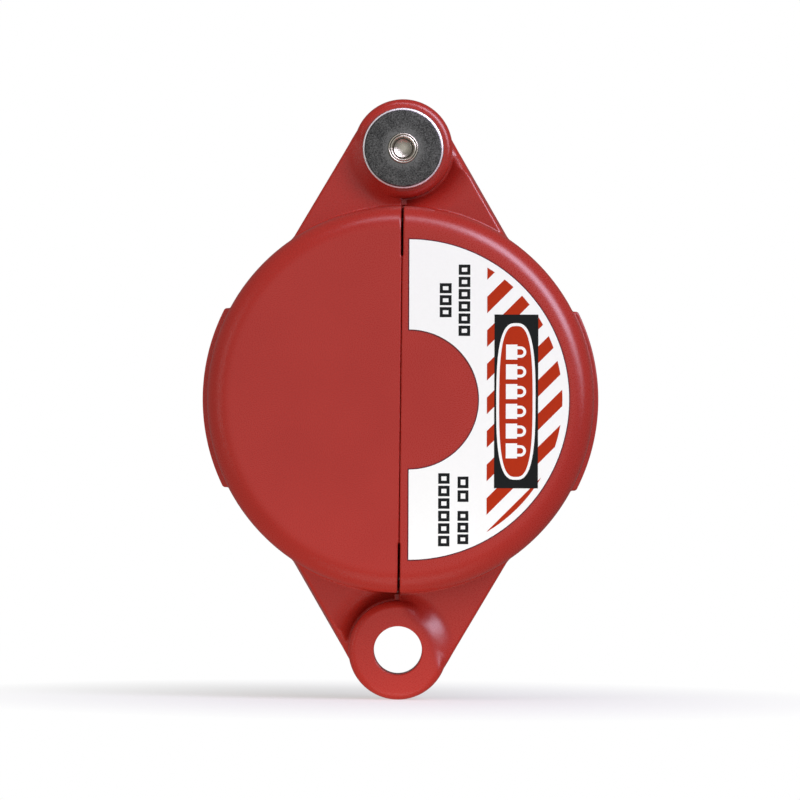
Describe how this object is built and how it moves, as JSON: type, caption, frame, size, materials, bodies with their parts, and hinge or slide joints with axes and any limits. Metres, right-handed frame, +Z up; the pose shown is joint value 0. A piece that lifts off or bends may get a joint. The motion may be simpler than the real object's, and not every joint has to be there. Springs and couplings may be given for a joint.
{
  "type": "valve handwheel lockout cover",
  "caption": "Two-part round cover that swings shut about a riveted pivot to enclose a valve handwheel, held shut by a padlock through its ears.",
  "frame": {"origin": "centre of the round cover, on the valve's stem axis and midway between its front and back faces", "axes": "+Z up towards the pivot, -Y out of the labelled front face, +Y out of the back face with the stem hole, +X to the labelled half"},
  "size_m": [0.0878, 0.0442, 0.1334],
  "materials": {
    "shell_red": "moulded polypropylene, satin, fine grain",
    "bush_steel": "turned and zinc plated",
    "rivet_nickel": "nickel plated, rolled end",
    "washer_steel": "stamped, dark zinc plated",
    "label_film": "printed vinyl film"
  },
  "bodies": {
    "right_half": {"right_shell": "shell_red", "warning_label": "label_film"},
    "left_half": {"left_shell": "shell_red"},
    "pivot_pin": {"pivot_rivet": "rivet_nickel", "pivot_bush": "bush_steel", "front_washer": "washer_steel", "rear_washer": "washer_steel"}
  },
  "joints": [
    {"name": "pivot_spin", "type": "hinge", "parent": "right_half", "child": "pivot_pin", "pos_m": [0, 0, 0.05575], "axis": [0, 1, 0], "continuous": true},
    {"name": "cover_swing", "type": "hinge", "parent": "right_half", "child": "left_half", "pos_m": [0, 0, 0.05575], "axis": [0, 1, 0], "range_deg": [0, 155]}
  ]
}
